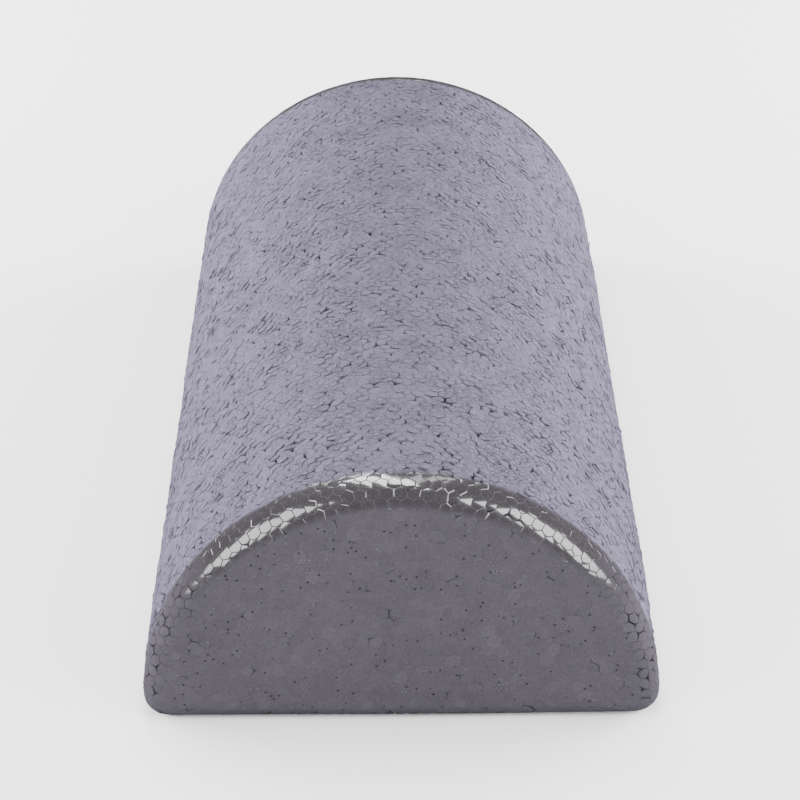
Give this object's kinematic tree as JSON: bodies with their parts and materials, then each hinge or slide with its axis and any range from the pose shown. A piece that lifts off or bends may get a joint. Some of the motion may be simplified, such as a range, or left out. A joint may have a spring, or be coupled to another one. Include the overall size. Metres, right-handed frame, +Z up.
{
  "type": "half-round foam roller",
  "caption": "Half-round foam exercise roller in fused grey bead foam, with a flat underside and rounded, glazed end rims.",
  "frame": {"origin": "centre of the flat underside", "axes": "+Y along the roller's length, +Z up from the underside to the crown, +X across the width"},
  "size_m": [0.1522, 0.3048, 0.08],
  "materials": {
    "bead_foam": "fused polypropylene bead foam, satin skin on the curve, matte ends, glazed end rims"
  },
  "bodies": {
    "root": {"roller_body": "bead_foam"}
  },
  "joints": []
}
